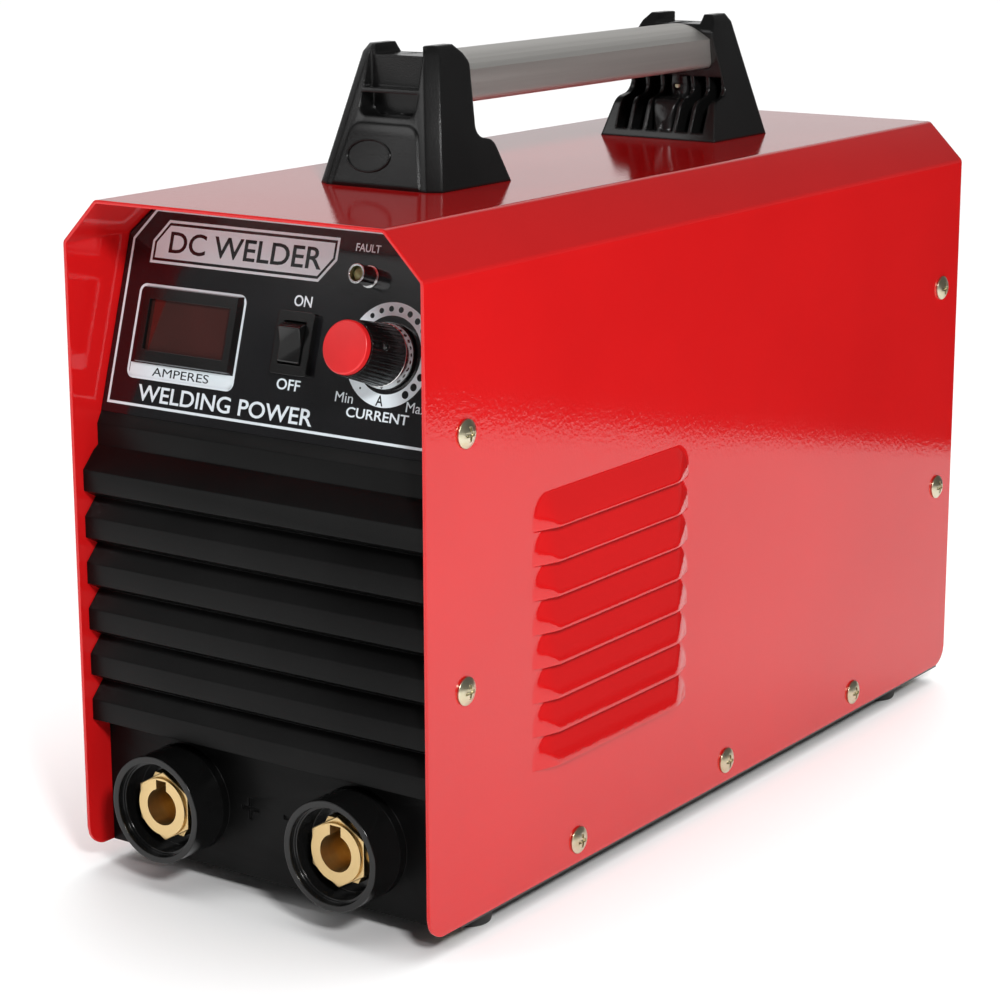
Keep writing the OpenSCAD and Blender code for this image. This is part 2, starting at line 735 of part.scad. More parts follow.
// Front bracket with its foot at z = 0; the rear one is its mirror image
module bracket() {
    ear = [1.8, 3];         // the top's outer corners, cut off
    bay_n = 6;
    bay = 6.9;
    difference() {
        union() {
            difference() {
                intersection() {
                    hull() {
                        bracket_slice(0, 0);
                        bracket_slice(bracket_h - ear[1], 0);
                        bracket_slice(bracket_h - eps, ear[0]);
                    }
                    along_x(-40, 40) polygon(bracket_side());
                }
                // Bays between the grip side's ribs
                for (i = [0 : bay_n - 1]) translate([(i - (bay_n - 1) / 2) * bay - 2.7, -98, 3])
                    cube([5.4, 40, 20.5]);
            }
            for (s = [bracket_screws[2], [0, 88]]) intersection() {
                translate([s[0], -s[1], 0]) cylinder(r = 5, h = 24);
                along_x(-40, 40) polygon(bracket_side());
            }
        }
        // Saddle over the bar and the stepped pocket in the outer face
        translate([-10.3, -130, bar_high]) cube([20.6, 100, 10]);
        translate([-11.6, -110, 33]) cube([23.2, 12.2, 20]);
        translate([0, -96.5, 0]) along_y(-20, 0)
            polygon(rounded([[-12, 23.6], [12, 23.6], [12, 31.4], [-12, 31.4]], [3.5, 3.5, 0, 0]));
        along_y(-bar_end, 0) polygon(bar_outline(0));
        for (s = bracket_screws) translate([s[0], -s[1], -1]) cylinder(r = m5, h = 12);
        translate([0, -88, -1]) cylinder(r = m5, h = 40);
        translate([0, -88, -1]) cylinder(r = 4.6, h = 21);
    }
    // Raised badge panel, left blank
    intersection() {
        translate([0, -bracket_y, 0]) rotate([90 - atan(bracket_lean), 0, 0]) translate([0, 0, -0.5])
            linear_extrude(1.3)
                polygon(rounded([[-18.5, 0.8], [18.5, 0.8], [13.6, 22], [-13.6, 22]], [0, 0, 5, 5]));
        translate([-30, -130, 0]) cube([60, 60, 40]);
    }
}

module handle_bracket_front() {
    color([0.07, 0.07, 0.07]) translate([0, 0, cover_top]) bracket();
}

module handle_bracket_rear() {
    color([0.07, 0.07, 0.07]) translate([0, 0, cover_top]) mirror([0, 1, 0]) bracket();
}

module bracket_screws() {
    color("silver") for (e = [-1, 1], s = bracket_screws)
        translate([s[0], e * s[1], cover_top - cover_t]) rotate([180, 0, 0]) pan_screw(m5, 11, 4.8, 3);
}

module bar_screws() {
    color("silver") for (e = [-1, 1]) translate([0, e * 88, cover_top + 20]) rotate([180, 0, 0])
        pan_screw(m5, 11, 4.5, 3);
}

// ---- Rear panel ----

module rear_panel() {
    outer = cover_t + panel_gap;
    color([0.07, 0.07, 0.08]) difference() {
        union() {
            difference() {
                along_y(rear_skirt, rear_face) polygon(case_outline(outer, 1.5, cover_z));
                along_y(rear_skirt - 1, rear_face - skin)
                    polygon(case_outline(outer + wall, 1, cover_z + wall));
            }
            for (s = side_screws) if (s[0] > 150) side_boss(s);
            for (p = rear_tabs) panel_tab(p);
        }
        for (s = side_screws) if (s[0] > 150) side_boss_hole(s);
        for (p = rear_tabs) translate([p[0], p[1], 0]) cylinder(r = m4, h = cover_z + 12);
        on_rear([0, fan_z]) translate([0, 0, -20]) cylinder(r = fan_size / 2 - 3, h = 40);
        for (x = [-1, 1], y = [-1, 1]) on_rear([x * fan_holes / 2, fan_z + y * fan_holes / 2])
            translate([0, 0, -20]) cylinder(r = m4, h = 40);
        on_rear(power_at) linear_extrude(20, center = true)
            polygon(box_outline(power_size[3], power_size[4]));
        on_rear(gland_at) translate([0, 0, -10]) cylinder(r = 8, h = 20);
        on_rear(stud_at) translate([0, 0, -10]) cylinder(r = 3, h = 20);
    }
}

module cable_gland() {
    color([0.08, 0.08, 0.08]) on_rear(gland_at) difference() {
        union() {
            translate([0, 0, -13]) cylinder(r = 8, h = 22.6);
            cylinder(r = 11, h = 3);
            translate([0, 0, 3]) cylinder(r1 = 11, r2 = 8.6, h = 2.4);
        }
        translate([0, 0, -14]) cylinder(r = 5.75, h = 30);
    }
}

module gland_nut() {
    color([0.1, 0.1, 0.1]) on_rear(gland_at) translate([0, 0, -skin - 5]) hex_nut(22, 5, 8);
}

module earth_stud() {
    color("silver") on_rear(stud_at) translate([0, 0, -14]) cylinder(r = 3, h = 23);
}

module earth_nuts() {
    color("silver") on_rear(stud_at) {
        hex_nut(10, 5, 3);
        translate([0, 0, -skin - 5]) hex_nut(10, 5, 3);
    }
}

// ---- Fan, drawn with z = 0 on the rear panel's inside and +Z into the case ----

module at_fan() {
    translate([0, rear_face - skin, fan_z]) rotate([90, 0, 0]) children();
}

module fan_corners() {
    for (x = [-1, 1], y = [-1, 1]) translate([x * fan_holes / 2, y * fan_holes / 2, 0]) children();
}

module fan_frame() {
    hub_r = 20;
    color([0.06, 0.06, 0.06]) at_fan() {
        difference() {
            linear_extrude(fan_depth)
                polygon(rounded(box_outline(fan_size, fan_size), [6, 6, 6, 6]));
            translate([0, 0, -1]) cylinder(r = fan_size / 2 - 3, h = fan_depth + 2);
            fan_corners() translate([0, 0, -1]) cylinder(r = m4, h = fan_depth + 2);
        }
        difference() {
            union() {
                cylinder(r = hub_r, h = 3);
                cylinder(r = 4.5, h = 16);
                for (a = [45 : 90 : 315]) rotate(a) translate([hub_r - 2, -2, 0])
                    cube([fan_size / 2 - hub_r, 4, 3]);
            }
            translate([0, 0, 1.5]) cylinder(r = 2 + run_gap, h = 20);
        }
    }
}

module fan_rotor() {
    hub_r = 20;
    tip_r = fan_size / 2 - 4.2;
    blade = [tip_r - hub_r + 6, 25, 2];
    color([0.1, 0.1, 0.1]) at_fan() {
        difference() {
            translate([0, 0, 4]) cylinder(r = hub_r, h = 18);
            translate([0, 0, 3]) cylinder(r = hub_r - 2.5, h = 16);
        }
        translate([0, 0, 2]) cylinder(r = 2, h = 18);
        for (i = [0 : blade_n - 1]) rotate(i * 360 / blade_n) intersection() {
            translate([hub_r - 1 + blade[0] / 2, 0, 13]) rotate([38, 0, 0]) cube(blade, center = true);
            difference() {
                translate([0, 0, 4.5]) cylinder(r = tip_r, h = 17);
                cylinder(r = hub_r - 1.2, h = 30);
            }
        }
    }
}

module fan_stator() {
    color("chocolate") at_fan() translate([0, 0, 5]) difference() {
        cylinder(r = 15.5, h = 10);
        translate([0, 0, -1]) cylinder(r = 4.5, h = 12);
        for (a = [45 : 90 : 315]) rotate(a) translate([9, -1.5, -1]) cube([10, 3, 12]);
    }
}

// Wire guard: rings on radial wires, held by a loop at each corner
module fan_guard() {
    wire = 1;
    rings = [14, 24.5, 35, 45.5, 56];
    color("silver") on_rear([0, fan_z]) {
        for (r = rings) translate([0, 0, 2.7]) rotate_extrude() translate([r, 0])
            circle(r = wire, $fn = 20);
        for (a = [45 : 90 : 315]) rotate(a) translate([13, 0, wire]) rotate([0, 90, 0])
            cylinder(r = wire, h = fan_holes / sqrt(2) - 13 - 3, $fn = 20);
        for (x = [-1, 1], y = [-1, 1]) translate([x * fan_holes / 2, y * fan_holes / 2, wire])
            rotate_extrude() translate([3.4, 0]) circle(r = wire, $fn = 20);
    }
}

module fan_screws() {
    color("silver") for (x = [-1, 1], y = [-1, 1])
        on_rear([x * fan_holes / 2, fan_z + y * fan_holes / 2]) translate([0, 0, 2])
            pan_screw(m4, 36, 4, 2.2);
}

module fan_nuts() {
    color("silver") at_fan() fan_corners() translate([0, 0, fan_depth]) hex_nut(7, 3.2, m4);
}

// ---- Electronics ----

module main_board() {
    color("darkgreen") difference() {
        union() {
            translate([-62, board_y[0], board_z]) cube([124, board_y[1] - board_y[0], board_t]);
            // Bridge rectifier with its own finned block, and the soft-start relay
            translate([-60, 86, board_top - eps]) cube([28, 28, 10]);
            for (i = [0 : 6]) translate([-60 + i * 4.4, 86, board_top + 10 - eps]) cube([1.6, 28, 22]);
            translate([-60, 86, board_top + 10 - eps]) cube([28, 28, 3]);
            translate([34, 92, board_top - eps]) cube([22, 16, 20]);
        }
        for (p = board_posts) translate([p[0], p[1], 0]) cylinder(r = m3, h = 40);
    }
}

module board_posts() {
    color("goldenrod") {
        for (p = board_posts) translate([p[0], p[1], cover_z]) hex_nut(7, board_z - cover_z, m3);
        for (p = upper_posts) translate([p[0], p[1], board_top]) hex_nut(7, upper_z - board_top, m3);
    }
}

module board_screws() {
    color("silver") {
        for (p = board_posts) {
            translate([p[0], p[1], board_top]) pan_screw(m3, 5, 2.9, 1.8);
            translate([p[0], p[1], foot_h]) rotate([180, 0, 0]) pan_screw(m3, 5, 2.9, 1.8);
        }
        for (p = upper_posts) translate([p[0], p[1], upper_z + board_t]) pan_screw(m3, 6, 2.9, 1.8);
        for (e = [-1, 1]) on_face([meter_at[0] + e * meter_screw, meter_at[1]]) translate([0, 0, -13.1])
            rotate([180, 0, 0]) pan_screw(1.2, 6, 2.3, 1.5);
    }
}

// Two finned extrusions that stand along the case, with the air moving between the fins
module heatsinks() {
    plate = 4;
    fin_n = 9;
    high = 74;
    fin = 1.6;
    lift = 3;
    color("lightgray") for (m = [0, 1]) mirror([m, 0, 0]) along_y(sink_y[0], sink_y[1]) {
        translate([sink_x, board_top]) square([plate, high]);
        for (i = [0 : fin_n - 1])
            translate([sink_x + plate - eps, board_top + lift + i * (high - lift - fin) / (fin_n - 1)])
            square([25, fin]);
    }
}

// Flat-pack transistors and diodes on the inner faces of the heatsinks
module power_devices() {
    color([0.08, 0.08, 0.08]) for (m = [0, 1], y = device_y) mirror([m, 0, 0]) {
        translate([sink_x - 5, y - 8, board_top + 16]) cube([5, 16, 21]);
        for (k = [-1 : 1]) translate([sink_x - 3, y + k * 5.4 - 0.6, board_top]) cube([0.8, 1.2, 16 + eps]);
    }
}

module transformer_core() {
    color([0.2, 0.2, 0.22]) along_x(-13, 13) difference() {
        translate([core_y - 32, board_top]) square([64, 52]);
        for (e = [-1, 1]) translate([core_y + e * 16 - 6, board_top + 9]) square([12, 34]);
    }
}

module transformer_winding() {
    color("khaki") difference() {
        translate([-23, core_y - 21.8, board_top + 9.2]) cube([46, 43.6, 33.6]);
        translate([-13, core_y - 10, board_top]) cube([26, 20, 60]);
    }
}

module output_choke() {
    color("orange") translate([0, -88, board_top + 28]) rotate([90, 0, 0]) difference() {
        cylinder(r = 28, h = 26);
        translate([0, 0, -1]) cylinder(r = 11, h = 28);
        for (i = [0 : 17]) rotate(i * 20) translate([27, 0, -1]) cylinder(r = 1.6, h = 28);
    }
}

module bulk_capacitors() {
    color("midnightblue") for (y = cap_y) translate([0, y, board_top]) cylinder(r = 15, h = 46);
}

// Upper board with its auxiliary supply transformer, chips and connectors
module control_board() {
    top = upper_z + board_t;
    color("darkgreen") difference() {
        union() {
            translate([-60, upper_y[0], upper_z]) cube([120, upper_y[1] - upper_y[0], board_t]);
            translate([-45, -60, top - eps]) cube([26, 22, 20]);
            for (i = [0 : 3]) translate([0 + i * 14, -100, top - eps]) cube([7, 18, 3.5]);
            for (i = [0 : 2]) translate([-40 + i * 22, -20, top - eps]) cube([16, 7, 9]);
        }
        for (p = upper_posts) translate([p[0], p[1], 0]) cylinder(r = m3, h = 200);
    }
}

cover();
cover_screws();
base_pan();
feet();
foot_screws();
foot_nuts();
panel_screws();
front_panel();
control_label();
meter_frame();
meter_window();
meter_display();
meter_board();
vrd_switch_body();
vrd_rocker();
led_holder();
led_lens();
led_nut();
pot_body();
pot_nut();
pot_shaft();
current_knob();
knob_ring();
knob_cap();
knob_grub_screw();
socket_housing(-1);  // socket_housing_left
socket_housing(1);  // socket_housing_right
socket_insert(-1);  // socket_insert_left
socket_insert(1);  // socket_insert_right
socket_nuts();
socket_bolts();
busbars();
handle_bracket_front();
handle_bracket_rear();
handle_bar();
bracket_screws();
bar_screws();
rear_panel();
power_switch_body();
power_rocker();
cable_gland();
gland_nut();
earth_stud();
earth_nuts();
fan_frame();
fan_rotor();
fan_stator();
fan_guard();
fan_screws();
fan_nuts();
main_board();
board_posts();
board_screws();
heatsinks();
power_devices();
transformer_core();
transformer_winding();
output_choke();
bulk_capacitors();
control_board();
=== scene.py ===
"""Stick welding inverter: looks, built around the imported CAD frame. Metres; the front faces -Y."""

import json
import math

import bmesh
import bpy
from mathutils import Matrix, Vector

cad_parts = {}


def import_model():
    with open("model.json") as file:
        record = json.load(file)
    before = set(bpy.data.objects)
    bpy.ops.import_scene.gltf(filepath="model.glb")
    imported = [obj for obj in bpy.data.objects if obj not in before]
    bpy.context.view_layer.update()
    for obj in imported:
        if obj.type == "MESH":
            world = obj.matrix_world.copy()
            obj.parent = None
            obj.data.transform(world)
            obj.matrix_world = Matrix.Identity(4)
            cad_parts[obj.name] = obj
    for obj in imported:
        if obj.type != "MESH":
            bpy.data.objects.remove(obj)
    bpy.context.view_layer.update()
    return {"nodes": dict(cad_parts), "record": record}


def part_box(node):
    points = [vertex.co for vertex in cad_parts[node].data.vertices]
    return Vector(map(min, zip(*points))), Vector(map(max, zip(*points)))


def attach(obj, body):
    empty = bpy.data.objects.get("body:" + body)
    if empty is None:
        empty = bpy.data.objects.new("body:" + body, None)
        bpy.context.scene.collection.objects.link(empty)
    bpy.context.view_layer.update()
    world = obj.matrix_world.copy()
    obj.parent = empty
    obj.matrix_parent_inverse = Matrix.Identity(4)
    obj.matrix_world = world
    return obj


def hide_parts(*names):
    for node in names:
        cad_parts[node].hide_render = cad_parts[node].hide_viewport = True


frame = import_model()

MM = 0.001
CASE = "case"

# ---- Driving sizes that the frame doesn't hold on its own ----
SHEET = 1.2 * MM                 # cover's sheet
FOLD_LEG = 15 * MM               # 45 degree fold between side and top
FACE_TILT = math.radians(16.5)   # lean of the control face
LABEL_T = 0.4 * MM
LOUVRES = 8
LOUVRE_PITCH = 11.9 * MM
LOUVRE_LOW = 41.2 * MM           # lowest louvre's edge above the cover's edge
LOUVRE_MID_Y = -77.75 * MM
LOUVRE_HALF = 49.25 * MM
LOUVRE_OUT = 3.5 * MM
SHEET_CORNER = 8 * MM            # rounded lower corners of the side panels
FOLD_BEND = 2.7 * MM             # outer radius of the folds
CRISP = 0.4 * MM                 # narrow strip of sheet beside each pressed or bent edge
BRACKET_LEAN = math.atan(0.27)   # lean of the handle brackets' outer faces

# Print, in mm across and up the control face
LINE = 0.9                       # width of a printed line
DIAL_AT = (44.3, 32.4)           # middle of the dial
DIAL_R = 14.85                   # middle of its ring
DIAL_BAND = 4.3                  # width of its ring
DIAL_DOTS = 20
BLACK_LIFT = 0.03                # black print lies over white print


# ---- Camera, at the photograph's viewing angle ----

CAMERA_AT = (0.56602, -0.84341, 0.35866)
CAMERA_TURN = (35.126, 13.946, -0.172)   # azimuth, elevation and roll, in degrees
CAMERA_LENS = 98.38                      # for a sensor 36 mm wide


def camera():
    azimuth, elevation, roll = (math.radians(a) for a in CAMERA_TURN)
    back = Vector((math.sin(azimuth) * math.cos(elevation),
                   -math.cos(azimuth) * math.cos(elevation),
                   math.sin(elevation)))
    side = back.cross(Vector((0, 0, 1))) * -1
    side.normalize()
    up = back.cross(side)
    right = math.cos(roll) * side + math.sin(roll) * up
    top = -math.sin(roll) * side + math.cos(roll) * up
    data = bpy.data.cameras.new("camera")
    data.sensor_width = 36
    data.lens = CAMERA_LENS
    data.clip_start = 0.05
    data.clip_end = 50
    obj = bpy.data.objects.new("camera", data)
    obj.matrix_world = Matrix((
        (right.x, top.x, back.x, CAMERA_AT[0]),
        (right.y, top.y, back.y, CAMERA_AT[1]),
        (right.z, top.z, back.z, CAMERA_AT[2]),
        (0, 0, 0, 1),
    ))
    bpy.context.scene.collection.objects.link(obj)
    bpy.context.scene.camera = obj


camera()


# ---- Materials ----

class Material:
    """A Principled material with a small tree of procedural detail, in object coordinates (metres)."""

    def __init__(self, name, color, metallic=0.0, roughness=0.5, **sockets):
        self.mat = bpy.data.materials.new(name)
        self.mat.use_nodes = True
        self.nodes = self.mat.node_tree.nodes
        self.links = self.mat.node_tree.links
        self.bsdf = self.nodes["Principled BSDF"]
        self.color = color
        self.bsdf.inputs["Base Color"].default_value = (*color, 1)
        self.bsdf.inputs["Metallic"].default_value = metallic
        self.bsdf.inputs["Roughness"].default_value = roughness
        for key, value in sockets.items():
            self.bsdf.inputs[key.replace("_", " ")].default_value = value
        self.coords = self.nodes.new("ShaderNodeTexCoord").outputs["Object"]
        self.normal = None

    def add(self, kind, **values):
        node = self.nodes.new("ShaderNode" + kind)
        for key, value in values.items():
            node.inputs[key.replace("_", " ")].default_value = value
        return node

    def noise(self, size, detail, stretch=(1, 1, 1)):
        """Noise with features about size metres across, stretched along an axis."""
        scale = self.add("Mapping")
        scale.inputs["Scale"].default_value = tuple(1 / s for s in stretch)
        self.links.new(self.coords, scale.inputs["Vector"])
        node = self.add("TexNoise", Scale=1 / size, Detail=detail)
        self.links.new(scale.outputs["Vector"], node.inputs["Vector"])
        return node.outputs["Fac"]

    def ramp(self, value, low, high):
        """Maps value from low..high to 0..1."""
        node = self.add("MapRange", From_Min=low, From_Max=high)
        self.links.new(value, node.inputs["Value"])
        return node.outputs["Result"]

    def tint(self, value, other):
        """Base colour runs from the material's own to other as value goes from 0 to 1."""
        mix = self.nodes.new("ShaderNodeMix")
        mix.data_type = "RGBA"
        mix.inputs["A"].default_value = (*self.color, 1)
        source = self.bsdf.inputs["Base Color"]
        if source.is_linked:
            self.links.new(source.links[0].from_socket, mix.inputs["A"])
        mix.inputs["B"].default_value = (*other, 1)
        self.links.new(value, mix.inputs["Factor"])
        self.links.new(mix.outputs["Result"], source)
        return self

    def rough(self, value, low, high):
        """Roughness runs from low to high with value."""
        node = self.add("MapRange", To_Min=low, To_Max=high)
        self.links.new(value, node.inputs["Value"])
        self.links.new(node.outputs["Result"], self.bsdf.inputs["Roughness"])
        return self

    def bump(self, value, depth):
        """Adds a bump of that depth, in metres."""
        node = self.add("Bump", Strength=1.0, Distance=depth)
        self.links.new(value, node.inputs["Height"])
        if self.normal is not None:
            self.links.new(self.normal, node.inputs["Normal"])
        self.normal = node.outputs["Normal"]
        self.links.new(self.normal, self.bsdf.inputs["Normal"])
        return self


def powder_coat():
    """Gloss red with slow changes of tone, a slight orange-peel and a faint waviness of the sheet."""
    m = Material("red_powder_coat", (0.66, 0.009, 0.010))
    m.tint(m.ramp(m.noise(0.09, 3), 0.35, 0.7), (0.61, 0.008, 0.009))
    m.rough(m.noise(0.012, 3), 0.05, 0.1)
    m.bump(m.noise(0.0014, 1.5), 0.00003)
    return m.bump(m.noise(0.11, 1), 0.0003).mat


def moulded(name, color, low, high, grain, depth, soft_edge=0.0, shine=0.5):
    """Moulded plastic: fine grain, given in metres, over slow changes of gloss, with soft edges."""
    m = Material(name, color, 0.0, high, Specular_IOR_Level=shine)
    if soft_edge:
        edge = m.add("Bevel", Radius=soft_edge)
        edge.samples = 6
        m.normal = edge.outputs["Normal"]
    m.rough(m.noise(0.02, 3), low, high)
    paler = tuple(c * 1.5 + 0.002 for c in color)
    m.tint(m.ramp(m.noise(0.05, 4), 0.4, 0.75), paler)
    return m.bump(m.noise(grain, 2), depth).mat


def metal(name, color, low, high, grain=0.0006, depth=0.00001, stretch=(1, 1, 1),
          stain=None):
    """Metal with fine marks that run along the stretched axis."""
    m = Material(name, color, 1.0, high)
    m.rough(m.noise(grain * 6, 3, stretch=stretch), low, high)
    darker = tuple(c * 0.85 for c in color)
    m.tint(m.ramp(m.noise(0.004, 3, stretch=stretch), 0.4, 0.8), stain or darker)
    return m.bump(m.noise(grain, 2, stretch=stretch), depth).mat


def overlay():
    """Gloss printed film over black."""
    m = Material("panel_print", (0.006, 0.006, 0.007), 0.0, 0.12,
                 Coat_Weight=0.3, Coat_Roughness=0.05)
    m.rough(m.noise(0.015, 3), 0.1, 0.2)
    return m.bump(m.noise(0.0008, 2), 0.000008).mat


def ink():
    """White screen print, a little uneven."""
    m = Material("white_ink", (0.70, 0.77, 0.81), 0.0, 0.3)
    m.tint(m.ramp(m.noise(0.008, 3), 0.4, 0.8), (0.66, 0.73, 0.77))
    return m.bump(m.noise(0.0003, 2), 0.000005).mat


def smoked():
    """Dark red smoked plastic over the meter's digits."""
    m = Material("smoked_window", (0.035, 0.010, 0.008), 0.0, 0.08,
                 Coat_Weight=0.5, Coat_Roughness=0.03)
    m.tint(m.ramp(m.noise(0.02, 3), 0.3, 0.8), (0.055, 0.014, 0.012))
    return m.bump(m.noise(0.002, 2), 0.00001).mat


def lens():
    m = Material("lamp_lens", (0.30, 0.30, 0.12), 0.0, 0.15,
                 Transmission_Weight=0.35, IOR=1.49)
    m.tint(m.ramp(m.noise(0.002, 2), 0.4, 0.7), (0.42, 0.40, 0.16))
    return m.bump(m.noise(0.0006, 2), 0.00002).mat


def board():
    m = Material("circuit_board", (0.012, 0.09, 0.03), 0.0, 0.35)
    tracks = m.add("TexBrick", Scale=180.0, Mortar_Size=0.03)
    m.links.new(m.coords, tracks.inputs["Vector"])
    m.tint(tracks.outputs["Fac"], (0.03, 0.17, 0.06))
    return m.bump(m.noise(0.0006, 2), 0.00002).mat


def table_end_material():
    m = Material("table_end", (0.02, 0.02, 0.02), 0.0, 0.9)
    return m.bump(m.noise(0.01, 2), 0.0001).mat


def floor_material():
    m = Material("floor", (0.93, 0.93, 0.925), 0.0, 0.55)
    m.tint(m.ramp(m.noise(0.6, 2), 0.3, 0.8), (0.90, 0.90, 0.90))
    return m.bump(m.noise(0.004, 2), 0.00002).mat


RED = powder_coat()
ABS = moulded("black_abs", (0.002, 0.002, 0.002), 0.3, 0.42, 0.0005, 0.00003,
              soft_edge=0.0005, shine=0.11)
GLOSS_ABS = moulded("black_abs_gloss", (0.004, 0.004, 0.004), 0.12, 0.22, 0.0008, 0.00001,
                    soft_edge=0.0006, shine=0.4)
NYLON = moulded("black_handle", (0.005, 0.005, 0.005), 0.18, 0.3, 0.0006, 0.00003,
                soft_edge=0.0013, shine=0.4)
SWITCH = moulded("switch_plastic", (0.004, 0.004, 0.004), 0.15, 0.25, 0.0004, 0.00001,
                 soft_edge=0.0003)
RED_PLASTIC = moulded("red_plastic", (0.62, 0.014, 0.016), 0.3, 0.42, 0.0005, 0.00002)
WHITE_PLASTIC = moulded("white_plastic", (0.6, 0.6, 0.58), 0.3, 0.4, 0.0006, 0.00001)
RUBBER = moulded("rubber", (0.015, 0.015, 0.015), 0.6, 0.8, 0.0007, 0.00005)
FERRITE = moulded("ferrite", (0.03, 0.03, 0.032), 0.5, 0.7, 0.0005, 0.00003)
SLEEVE = moulded("capacitor_sleeve", (0.012, 0.016, 0.05), 0.2, 0.3, 0.002, 0.00002)
TAPE = moulded("winding_tape", (0.6, 0.42, 0.06), 0.2, 0.35, 0.003, 0.00005)
BLACK_STEEL = moulded("black_steel", (0.012, 0.012, 0.012), 0.3, 0.45, 0.0015, 0.00004)
BAR = metal("anodised_aluminium", (0.68, 0.66, 0.63), 0.48, 0.6, 0.0005, 0.000006,
            stretch=(1, 60, 1))
FIN = metal("plain_aluminium", (0.62, 0.62, 0.63), 0.3, 0.45, 0.0006, 0.00002,
            stretch=(1, 60, 1))
ZINC = metal("zinc_screw", (0.60, 0.56, 0.42), 0.22, 0.4, 0.0008, 0.00002,
             stain=(0.50, 0.44, 0.26))
STEEL = metal("steel", (0.52, 0.52, 0.52), 0.25, 0.4)
CHROME = metal("chrome", (0.72, 0.72, 0.72), 0.06, 0.16, 0.002, 0.000004)
BRASS = metal("brass", (0.78, 0.58, 0.30), 0.28, 0.42, 0.0005, 0.00001,
              stretch=(30, 1, 30), stain=(0.60, 0.42, 0.18))
COPPER = metal("copper", (0.75, 0.33, 0.16), 0.25, 0.45, 0.0006, 0.00002)
PRINT = overlay()
INK = ink()
WINDOW = smoked()
LENS = lens()
PCB = board()

BY_SLOT = {
    "red_powder_coat": RED, "black_steel": BLACK_STEEL, "black_abs": ABS,
    "black_handle": NYLON, "panel_print": PRINT, "switch_plastic": SWITCH,
    "red_plastic": RED_PLASTIC, "smoked_window": WINDOW, "lamp_lens": LENS,
    "white_plastic": WHITE_PLASTIC, "anodised_aluminium": BAR, "plain_aluminium": FIN,
    "zinc_screw": ZINC, "steel": STEEL, "chrome": CHROME, "brass": BRASS, "copper": COPPER,
    "rubber": RUBBER, "circuit_board": PCB, "ferrite": FERRITE, "winding_tape": TAPE,
    "capacitor_sleeve": SLEEVE,
}
SLOT_OF = {s["node"]: s["material_slot"] for s in frame["record"]["subparts"]}
BODY_OF = {n: b for b, ns in frame["record"]["behaviour"]["bodies"].items() for n in ns}


def dress_frame():
    for node, obj in frame["nodes"].items():
        obj.data.materials.clear()
        obj.data.materials.append(BY_SLOT[SLOT_OF[node]])


dress_frame()


# ---- Making pieces ----

def piece(name, mesh, material, body=CASE):
    """Adds a mesh to the scene as part of a body, with the given material."""
    obj = bpy.data.objects.new(name, mesh)
    bpy.context.scene.collection.objects.link(obj)
    mesh.materials.clear()
    mesh.materials.append(material)
    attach(obj, body)
    return obj


def from_bmesh(name, bm, material, body=CASE):
    mesh = bpy.data.meshes.new(name)
    bm.to_mesh(mesh)
    bm.free()
    return piece(name, mesh, material, body)


def apply_modifiers(obj):
    """Bakes the modifiers into the mesh, so the piece is a plain mesh."""
    bpy.context.view_layer.update()
    graph = bpy.context.evaluated_depsgraph_get()
    mesh = bpy.data.meshes.new_from_object(obj.evaluated_get(graph))
    obj.modifiers.clear()
    obj.data = mesh
    return obj


def smooth(obj, degrees):
    """Smooth shading, with edges sharper than that angle kept crisp."""
    mesh = obj.data
    mesh.polygons.foreach_set("use_smooth", [True] * len(mesh.polygons))
    mesh.set_sharp_from_angle(angle=math.radians(degrees))
    return obj


def round_edges(obj, width, segments, degrees):
    """A bevel, width in metres, on edges sharper than that angle."""
    bevel = obj.modifiers.new("edges", "BEVEL")
    bevel.width = width
    bevel.segments = segments
    bevel.limit_method = "ANGLE"
    bevel.angle_limit = math.radians(degrees)
    return bevel


def soften(node, width):
    """A copy of a CAD node with rounded edges, which stands for it. width is in mm."""
    bm = bmesh.new()
    bm.from_mesh(frame["nodes"][node].data)
    bmesh.ops.remove_doubles(bm, verts=bm.verts, dist=0.002 * MM)
    bmesh.ops.dissolve_limit(bm, angle_limit=math.radians(0.6), verts=bm.verts, edges=bm.edges)
    slot = SLOT_OF[node]
    obj = from_bmesh(node + "_rounded", bm, BY_SLOT[slot], BODY_OF[node])
    round_edges(obj, width * MM, 3, 28).harden_normals = True
    smooth(obj, 40)
    apply_modifiers(obj)
    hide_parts(node)


# ---- Cover: one folded sheet with pressed louvres ----

def louvre_height(along, up):
    """How far a louvre stands out at a point along it and up from its open edge."""
    corner = 10.5 * MM
    end = LOUVRE_HALF - abs(along)
    top = LOUVRE_PITCH - up
    if end < corner and top < corner:
        inside = corner - math.hypot(corner - end, corner - top)
    else:
        inside = min(end, top)
    share = max(0.0, min(1.0, inside / (LOUVRE_PITCH * 0.98)))
    return LOUVRE_OUT * (1.25 * share - 0.25 * share ** 2)


def spread(start, end, step):
    """Evenly spaced values from start to end, no further apart than step."""
    n = max(1, math.ceil(abs(end - start) / step))
    return [start + (end - start) * i / n for i in range(n)] + [end]


